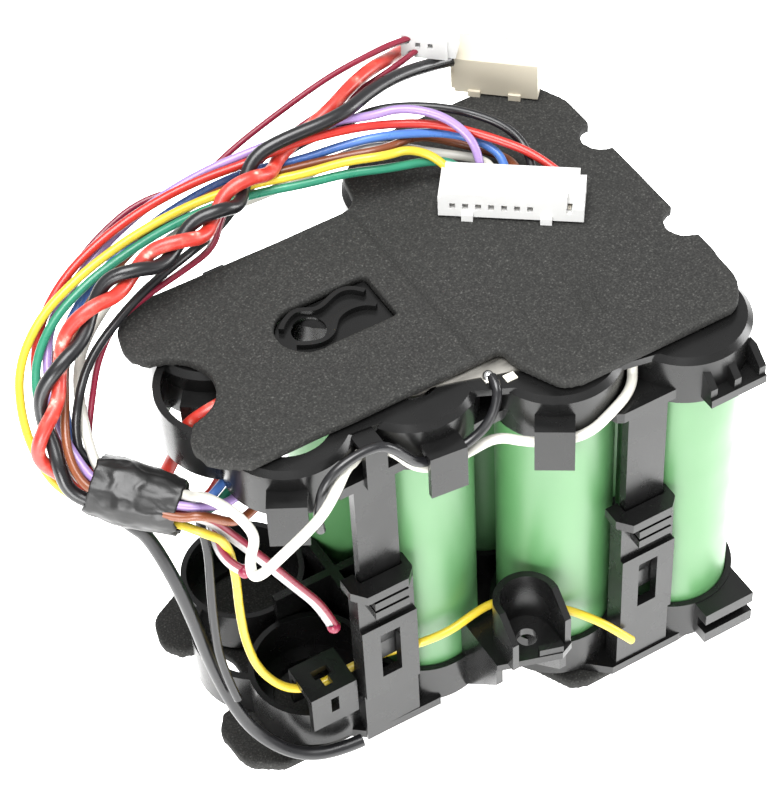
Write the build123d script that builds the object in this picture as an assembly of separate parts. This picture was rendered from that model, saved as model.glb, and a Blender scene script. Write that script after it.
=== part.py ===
"""Seven-cell lithium-ion pack: two moulded holders clip together around upright 18650 cells.

Units are millimetres and Z is up. The lower foam pad stands on z = 0. Plan places are
given from the holder datum, which is the axis of the front middle cell. Each finished
piece is then shifted by DATUM, so that the origin is the centre of the pack's base.
"""
import math
import os

from build123d import *

os.makedirs("parts", exist_ok=True)

# Driving dimensions
DATUM = (13.25, -18.0)
FOAM = 2.0
STRIP = 0.2
LIP = 1.3
CELL_LENGTH = 65.2
CAN_RADIUS = 9.1
SLEEVE_WALL = 0.13
CUP_INNER = 9.45
CUP_OUTER = 10.4
CUP_DEPTH = 9.0
CUP_WINDOW = 6.8
CELL_WINDOW = 4.6
BEVEL = 0.9
FIT = 0.02

# Levels that follow from them
BASE = FOAM + STRIP
CELL_FOOT = BASE + LIP
CELL_TOP = CELL_FOOT + CELL_LENGTH
HOLDER_TOP = CELL_TOP + LIP
PACK_TOP = HOLDER_TOP + STRIP + FOAM
CUP_RIM = BASE + CUP_DEPTH
TOWER_FLOOR = 20.0
TOWER_PLATE = 1.5
TOWER_HOLE = 1.7
COLLAR_FOOT = HOLDER_TOP - CUP_DEPTH

# Cells in series order, then the three unused places of the ten-place holder
CELLS = [(-21.1, 6.9), (0.0, 0.0), (20.4, -4.0), (20.4, 21.2), (20.4, 43.0), (0.0, 21.8), (-20.6, 31.5)]
EMPTY = [(-40.7, 8.9), (-41.0, 32.0), (0.0, 43.0)]
PLACES = CELLS + EMPTY

# Snap straps: centre in x, front face in y
STRAPS = [(-32.8, -2.2), (8.8, -12.0)]
STRAP_WIDTH = 7.0
STRAP_THICK = 1.6
STRAP_FOOT = 20.0
GUSSET_FOOT = 62.0
GUSSET_TOP = 64.0
NECK_TOP = 69.6


def disc(x, y, radius, low, high):
    return Pos(x, y, (low + high) / 2) * Cylinder(radius, high - low)


def block(x0, x1, y0, y1, low, high):
    centre = Pos((x0 + x1) / 2, (y0 + y1) / 2, (low + high) / 2)
    return centre * Box(x1 - x0, y1 - y0, high - low)


def prism(points, low, high):
    face = make_face(Polyline(*points, close=True))
    return Pos(0, 0, low) * extrude(face, high - low)


def turned(profile):
    """Revolve an (r, z) outline about Z."""
    outline = Polyline(*[(r, 0, z) for r, z in profile], close=True)
    return revolve(make_face(outline), Axis.Z)


def tube_between(inner, outer, low, high):
    return disc(0, 0, outer, low, high) - disc(0, 0, inner, low - 1, high + 1)


def save(name, *solids):
    """Shift pieces from the datum to the origin and write them as one node."""
    moved = [Pos(*DATUM, 0) * solid for solid in solids]
    shape = moved[0] if len(moved) == 1 else Compound(children=moved)
    export_step(shape, f"parts/{name}.step")


# Cells -----------------------------------------------------------------------

SLEEVE_INNER = CAN_RADIUS + FIT
SLEEVE_RADIUS = SLEEVE_INNER + SLEEVE_WALL
SLEEVE_LIP = 7.4
CAP_RADIUS = 3.2
VENT_RADIUS = 4.2
CRIMP_RADIUS = 6.4
CAN_FOOT = SLEEVE_WALL + FIT
CAN_SHOULDER = 64.5
GROOVE = (61.4, 62.6, 0.5)


def cell_can():
    groove_low, groove_high, groove_depth = GROOVE
    return turned([
        (0, CAN_FOOT), (CAN_RADIUS - 0.6, CAN_FOOT), (CAN_RADIUS, CAN_FOOT + 0.6),
        (CAN_RADIUS, groove_low), (CAN_RADIUS - groove_depth, (groove_low + groove_high) / 2),
        (CAN_RADIUS, groove_high), (CAN_RADIUS, CAN_SHOULDER - 0.7),
        (CAN_RADIUS - 0.7, CAN_SHOULDER), (CRIMP_RADIUS, CAN_SHOULDER),
        (CRIMP_RADIUS, CAN_SHOULDER - 0.5), (VENT_RADIUS, CAN_SHOULDER - 0.5),
        (CAP_RADIUS, CELL_LENGTH), (0, CELL_LENGTH)])


def cell_sleeve():
    top = CAN_SHOULDER + FIT
    return turned([
        (SLEEVE_LIP, 0), (SLEEVE_RADIUS, 0), (SLEEVE_RADIUS, top + SLEEVE_WALL),
        (SLEEVE_LIP, top + SLEEVE_WALL), (SLEEVE_LIP, top), (SLEEVE_INNER, top),
        (SLEEVE_INNER, SLEEVE_WALL), (SLEEVE_LIP, SLEEVE_WALL)])


def insulator_ring():
    low = CAN_SHOULDER + 2 * FIT + SLEEVE_WALL
    return tube_between(4.6, 8.6, low, low + 0.25)


def placed(piece, index):
    """Stand a cell piece at its place; every second cell is upside down."""
    x, y = CELLS[index]
    if index % 2 == 0:
        return Pos(x, y, CELL_FOOT) * piece
    return Pos(x, y, CELL_TOP) * Rot(180, 0, 0) * piece


def make_cells():
    can, sleeve, ring = cell_can(), cell_sleeve(), insulator_ring()
    for index in range(len(CELLS)):
        save(f"cell_can_{index + 1}", placed(can, index))
        save(f"cell_sleeve_{index + 1}", placed(sleeve, index))
    save("insulator_rings", *[placed(ring, index) for index in range(len(CELLS))])


# Nickel strips ---------------------------------------------------------------

STRIP_WIDTH = 6.0
SPOT_FLANGE = 0.4
DISH_TOP = 3.6
DISH_FOOT = 2.4
TAB = (-12.4, -10.4, -0.6, 3.4)
PAPER = (-9.6, -7.8, -2.0, -0.6)
TAB_SOLDER = (-11.4, 0.5)
SOLDER_RADIUS = 0.9


def dish():
    """Pressed spot that reaches from the strip, z = 0, down to the cell end."""
    return turned([
        (0, -LIP), (DISH_FOOT, -LIP), (DISH_TOP, 0), (DISH_TOP + SPOT_FLANGE, 0),
        (DISH_TOP + SPOT_FLANGE, STRIP), (DISH_TOP - 0.1, STRIP),
        (DISH_FOOT - 0.1, STRIP - LIP), (0, STRIP - LIP)])


def strip(ends):
    """Flat strip over one or two cells, with its outer face up and its lower face at z = 0."""
    (xa, ya), (xb, yb) = ends
    angle = math.degrees(math.atan2(yb - ya, xb - xa))
    span = math.hypot(xb - xa, yb - ya)
    middle = Pos((xa + xb) / 2, (ya + yb) / 2, 0) * Rot(0, 0, angle)
    plate = middle * extrude(SlotCenterToCenter(span, STRIP_WIDTH), STRIP)
    for x, y in ends:
        if (x, y) in CELLS:
            plate -= disc(x, y, DISH_TOP, -1, 1)
            plate += Pos(x, y, 0) * dish()
    return plate


def make_strips():
    tab = block(*TAB, 0, STRIP)
    top = {
        "link_1_2": strip(CELLS[0:2]) + tab,
        "link_3_4": strip(CELLS[2:4]),
        "link_5_6": strip(CELLS[4:6]),
        "terminal_positive": strip([CELLS[6], (-30.5, 33.0)])}
    bottom = {
        "terminal_negative": strip([CELLS[0], (-30.0, 2.8)]),
        "link_2_3": strip(CELLS[1:3]),
        "link_4_5": strip(CELLS[3:5]),
        "link_6_7": strip(CELLS[5:7])}
    for name, plate in top.items():
        save(f"nickel_{name}", Pos(0, 0, HOLDER_TOP) * plate)
    for name, plate in bottom.items():
        save(f"nickel_{name}", Pos(0, 0, BASE) * mirror(plate, Plane.XY))
    save("insulating_paper", block(*PAPER, HOLDER_TOP + FIT, HOLDER_TOP + STRIP))
    bead = Pos(TAB_SOLDER[0], TAB_SOLDER[1], HOLDER_TOP + STRIP) * Sphere(SOLDER_RADIUS)
    save("tab_solder", bead - block(-20, 0, -10, 10, HOLDER_TOP - 5, HOLDER_TOP + STRIP + FIT))


# Holders ---------------------------------------------------------------------

WEB = [
    (-46, 3), (-16, 0), (-4, -6), (22, -11), (28, -4), (28, 46), (20, 51), (0, 51), (-8, 44),
    (-14, 39), (-46, 39), (-50, 34), (-44, 27), (-44, 15), (-50, 10)]
SLOT = (-34.5, -16.8, 16.8, 27.2)


def cup_outside(x, y):
    cone_middle = Pos(x, y, BEVEL / 2)
    cone = cone_middle * Cone(CUP_OUTER - BEVEL, CUP_OUTER, BEVEL)
    return cone + disc(x, y, CUP_OUTER, BEVEL, CUP_DEPTH)


def window_at(centre):
    """Radius of the window in the end of a cup, which is wide open in the unused places."""
    return CELL_WINDOW if centre in CELLS else CUP_WINDOW


def end_frame():
    """Ten joined cups, outer face at z = 0 and mouths up."""
    slot_x0, slot_x1, slot_y0, slot_y1 = SLOT
    frame = prism(WEB, 0, LIP) - block(slot_x0, slot_x1, slot_y0, slot_y1, -1, LIP + 1)
    for x, y in PLACES:
        frame += cup_outside(x, y)
    frame += block(-22, -19, 15, 23, 0, 4)
    frame += block(-42, -39, 17, 24, 0, 4)
    frame += block(-1.5, 1.5, 9, 13, 0, 6)
    frame += block(18.9, 21.9, 5, 12, 0, 6)
    frame += arc_wall()
    for x, y in PLACES:
        frame -= disc(x, y, CUP_INNER, LIP, CUP_DEPTH + 1)
        frame -= disc(x, y, window_at((x, y)), -1, LIP + 1)
    return frame


def arc_wall():
    """Thin curved skirt that joins the two left cups."""
    centre_x, centre_y, radius, wall = -44.0, 20.4, 11.4, 1.2
    ring = disc(centre_x, centre_y, radius, 0, CUP_DEPTH)
    ring -= disc(centre_x, centre_y, radius - wall, -1, CUP_DEPTH + 1)
    return ring & block(-60, -48.5, 8, 33, 0, CUP_DEPTH)


def hook(x, y, angle):
    """Ledge and hanging tab on a collar, facing outwards at an angle from -Y."""
    gap, tab, width = 2.1, 1.0, 6.0
    ledge_high, ledge_low, tab_low = HOLDER_TOP - 3.5, HOLDER_TOP - 4.7, HOLDER_TOP - 12.0
    front = -CUP_OUTER - gap - tab
    ledge = block(-width / 2, width / 2, front, -CUP_INNER - 0.3, ledge_low, ledge_high)
    hanging = block(-width / 2, width / 2, front, front + tab, tab_low, ledge_high)
    return Pos(x, y, 0) * Rot(0, 0, angle) * (ledge + hanging)


def strap(x, front):
    """Snap strap with the sloped barb that locks in the latch window."""
    half = STRAP_WIDTH / 2
    body = block(x - half, x + half, front, front + STRAP_THICK, STRAP_FOOT, GUSSET_TOP)
    slope = make_face(Polyline((x, front, 24.0), (x, front, 28.2), (x, front - 1.0, 28.2), close=True))
    return body + Pos(-1.5, 0, 0) * extrude(slope, 3.0, dir=(1, 0, 0))


def make_upper_holder():
    holder = Pos(0, 0, HOLDER_TOP) * mirror(end_frame(), Plane.XY)
    gussets = [
        [(-40, 2), (-38.5, -2.2), (-25, -2.2), (-22, -2.6), (-24, 4)],
        [(-19, -2), (-13, -1.6), (-6.5, -1.6), (-4, -7), (0, -4), (-8, 8), (-16, 8)],
        [(2.5, -9.0), (3.5, -11.4), (4.5, -12.0), (20, -12.0), (20, -6), (10, 4), (2, -5)]]
    for outline in gussets:
        holder += prism(outline, GUSSET_FOOT, GUSSET_TOP)
    for x, front in STRAPS:
        holder += strap(x, front)
    holder += block(-34.2, -30.6, -2.8, -1.6, GUSSET_FOOT, NECK_TOP)
    holder += block(-34.2, -30.6, -2.8, 3.0, NECK_TOP - 1.0, NECK_TOP)
    hooks = [(EMPTY[0], -30), (EMPTY[1], -36), (CELLS[0], -6), (CELLS[1], -33)]
    for (x, y), angle in hooks:
        holder += hook(x, y, angle)
    holder += block(-36.0, -32.4, 42.9, 44.5, 60.0, 68.0)
    holder += block(-36.0, -32.4, 40.0, 44.5, 66.4, 68.0)
    holder += right_bracket()
    holder += slot_pocket()
    for x, y in PLACES:
        holder -= disc(x, y, CUP_INNER, COLLAR_FOOT - 1, HOLDER_TOP - LIP)
    save("upper_holder", holder)


def wavy_rib(points, low, high):
    return Pos(0, 0, low) * extrude(trace(Spline(*points), 0.8), high - low, dir=(0, 0, 1))


def slot_pocket():
    """Floor under the upper pad's slot, with two wavy ribs on it and a round pit between them."""
    floor = HOLDER_TOP + STRIP + FIT
    pocket = slot_shape(0.15, floor, floor + 0.4) + block(-33.0, -17.2, 17.6, 21.4, HOLDER_TOP - LIP, floor)
    pocket -= disc(-29.2, 22.6, 2.7, HOLDER_TOP - 3, floor + 1)
    far_rib = [(-33.0, 24.2), (-31.4, 25.6), (-29.0, 26.3), (-26.7, 25.2), (-23.3, 26.1), (-18.4, 24.4)]
    near_rib = [(-32.4, 20.4), (-30.5, 19.3), (-28.6, 18.9), (-26.6, 19.7), (-25.0, 21.5), (-22.2, 22.5),
                (-18.4, 20.9)]
    for points in (far_rib, near_rib):
        pocket += wavy_rib(points, floor, floor + 1.4)
    return pocket & slot_shape(0.15, HOLDER_TOP - LIP, floor + 2)


def right_bracket():
    """Rail plate with three fins in front of the right-hand collar."""
    x0, x1, front, back = 17.0, 27.0, -16.6, -6.0
    bracket = block(x0, x1, front, back, GUSSET_FOOT, GUSSET_FOOT + 1.6)
    fin_top = HOLDER_TOP - 2.2
    for x in (x0, x0 + 4.3, x1 - 1.2):
        profile = [(front + 0.4, GUSSET_FOOT), (front + 0.4, GUSSET_FOOT + 3.4), (front + 3.0, fin_top),
                   (-10, fin_top), (-10, GUSSET_FOOT)]
        face = make_face(Polyline(*[(x, y, z) for y, z in profile], close=True))
        bracket += extrude(face, 1.2, dir=(1, 0, 0))
    return bracket


def latch(x, front):
    """Post with a roof, two ridges and a window, which the strap snaps into."""
    half, panel, clear = 4.9, 0.9, 0.35
    cheek_front = front - clear - panel
    back = front + STRAP_THICK + 0.2
    piece = block(x - half, x - half + 1.2, cheek_front, back, BASE, 41.0)
    piece += block(x + half - 1.2, x + half, cheek_front, back, BASE, 41.0)
    piece += block(x - half, x + half, cheek_front, front - clear, 14.0, 40.5)
    piece += block(x - half, x + half, cheek_front - 0.7, cheek_front, 14.0, 31.0)
    piece += block(x - half, x + half, cheek_front, back, BASE, 14.6)
    roof_front = front - 3.4
    roof = prism([(x - 4.2, roof_front), (x + 3.0, roof_front), (x + 4.6, roof_front + 1.6), (x + 4.6, back),
                  (x - 6.0, back), (x - 6.0, roof_front + 2.2)], 39.6, 41.4)
    roof -= block(x - 3.75, x + 3.75, front - clear, back + 1, 39, 42)
    piece += roof
    for low in (35.2, 37.4):
        piece += block(x - 3.0, x + 3.0, roof_front, cheek_front, low, low + 1.6)
    piece -= block(x - 1.75, x + 1.75, front - 5, front - clear + 0.1, 18.0, 28.6)
    return piece


def screw_tower():
    """Half-round screw well that is open to the front, on a plate carried by two gussets."""
    x, y, outer, wall, floor, top = -12.0, -10.93, 5.4, 1.1, TOWER_FLOOR, 30.0
    under = floor - TOWER_PLATE
    plate = prism([(-19.0, -2.0), (-19.0, -13.2), (-8.9, -16.6), (-6.6, -15.6), (-6.6, -9.6), (-9.6, -3.0)],
                  under, floor)
    well = disc(x, y, outer, floor, top) + block(x - outer, x + outer, y - 4.4, y, floor, top)
    well -= disc(x, y, outer - wall, floor, top + 1)
    well -= block(x - outer + wall, x + outer - wall, y - 9, y, floor, top + 1)
    slope = make_face(Polyline((0, y - 6, top + 1), (0, y - 6, 24.3), (0, y - 0.5, top), (0, y - 0.5, top + 1),
                               close=True))
    well -= Pos(x - 8, 0, 0) * extrude(slope, 16, dir=(1, 0, 0))
    lip = prism([(-12.4, -15.3), (-12.1, -14.3), (-8.4, -15.5), (-8.7, -16.5)], floor, floor + 1.5)
    gusset = make_face(Polyline((0, -2.0, BASE), (0, -12.9, under - 4.0), (0, -12.9, under), (0, -2.0, under),
                                close=True))
    legs = Pos(-19.0, 0, 0) * extrude(gusset, 1.2, dir=(1, 0, 0))
    brace = make_face(Polyline((0, -5.0, BASE + 2.0), (0, -15.2, under - 4.6), (0, -15.2, under), (0, -5.0, under),
                               close=True))
    legs += Pos(-8.6, 0, 0) * extrude(brace, 1.2, dir=(1, 0, 0))
    return plate + well + lip + legs - disc(x, y, TOWER_HOLE, under - 1, floor + 1)


def wire_clip():
    """Small open box over the rim of the empty front cup, with a keyhole for a wire."""
    x0, x1, y0, y1, low, high = -46.6, -38.4, -2.4, 5.2, CUP_RIM - 1.2, 18.0
    clip = block(x0, x1, y0, y1, low, high)
    clip -= block(x0 - 1, x1 + 1, y0 + 1.2, y1 - 1.0, low - 1, high - 1.3)
    clip -= block(-43.2, -41.8, y0 - 1, 2.4, 12.8, 16.2)
    clip -= block(-43.2, -41.8, -0.8, 2.4, 15.5, high + 1)
    clip -= block(-44.0, -41.0, 1.0, 2.8, 15.5, high + 1)
    return clip


def rail_prongs():
    """Short V-groove rail in front of the right-hand cup."""
    x0, x1, front = 18.6, 28.0, -17.4
    rail = block(x0, x1, -15.2, -8.0, 4.0, 11.0)
    for low in (4.0, 8.6):
        rail += block(x0, x1, front, -15.0, low, low + 2.4)
    return rail


def make_lower_holder():
    holder = Pos(0, 0, BASE) * end_frame()
    for x, front in STRAPS:
        holder += latch(x, front)
    holder += prism([(-2, -9.0), (3.0, -13.6), (16.0, -13.6), (21, -13.0), (20, -6), (2, -6)], BASE, BASE + 1.8)
    holder += prism([(-40, -1.0), (-37.0, -3.4), (-24, -3.6), (-22, 0), (-38, 6)], BASE, BASE + 1.8)
    holder += rail_prongs()
    holder += block(-30.8, -29.2, 8.0, 30.0, BASE, 16.0)
    holder += block(-41.0, -22.0, 19.6, 21.0, BASE, 16.0)
    for x, y in PLACES:
        holder -= disc(x, y, CUP_INNER, CELL_FOOT, CELL_TOP)
        holder -= disc(x, y, window_at((x, y)), BASE - 1, CELL_FOOT)
    holder += wire_clip()
    tower = screw_tower() - holder
    for x, y in PLACES:
        tower -= disc(x, y, CUP_INNER, CELL_FOOT, CELL_TOP)
    channel = cord(NOTCH, ROUTES["wire_sense_yellow"][1][-NOTCH_POINTS:])
    save("lower_holder", holder - channel)
    save("screw_tower", tower - channel)


# Foam pads -------------------------------------------------------------------


PAD_CORNER = 3.6
NOTCH_LEFT, NOTCH_RIGHT = -8.0, -7.0


def slot_shape(inset, low, high):
    """Slot with one round end that goes through the upper pad."""
    end = disc(-29.6, 22.2, 5.1 - inset, low, high)
    return end + block(-29.6, -16.9 - inset, 17.2 + inset, 27.2 - inset, low, high)


def foam_outline(left, near_left, near_right, right, far):
    """Closed pad outline with its rounded corners and the three round bites in its sides."""
    edge = [
        (left + 6, near_left), (-7.8, near_left), (-7.2, near_left - 4.0), (-3.5, near_right + 0.6),
        (0.0, near_right), (right - 3.5, near_right), (right - 0.6, near_right + 4.5), (right, near_right + 12)]
    edge += [(right, far - 9), (right - 3.0, far - 2.0), (right - 7, far), (-3, far), (-9.0, far - 5.5),
             (-10.5, 40.5), (left + 7, 40.5), (left + 1.4, 37.5), (left, 32.0), (left + 2.4, 28.6)]
    edge += [(left + 2.4, 14.0), (left, 11.0), (left + 0.8, near_left + 3.6)]
    return edge


def foam_pad(left, near_left, near_right, right, far, low, slot):
    outline = make_face(Polyline(*foam_outline(left, near_left, near_right, right, far), close=True))
    corners = [v for v in outline.vertices() if not NOTCH_LEFT < v.X < NOTCH_RIGHT]
    pad = Pos(0, 0, low) * extrude(fillet(corners, PAD_CORNER), FOAM, dir=(0, 0, 1))
    pad -= disc(left + 1.8, 21.4, 7.2, low - 1, low + FOAM + 1)
    for y in (33.6, 10.4):
        pad -= disc(right, y, 3.3, low - 1, low + FOAM + 1)
    if slot:
        pad -= slot_shape(0, low - 1, low + FOAM + 1)
    return pad


def make_foam():
    save("top_foam_pad", foam_pad(-55.4, 2.8, -8.8, 30.5, 53.0, PACK_TOP - FOAM, True))
    save("bottom_foam_pad", foam_pad(-57.5, -0.3, -12.4, 31.0, 53.0, 0.0, False))


# Wires -----------------------------------------------------------------------

SENSE_WIRE = 1.4
WHITE_WIRE = 1.6
POWER_WIRE = 2.2
TWIN_LEAD = 1.4
JUMPER_WIRE = 1.5
NOTCH = 2.0
NOTCH_POINTS = 16

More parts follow.
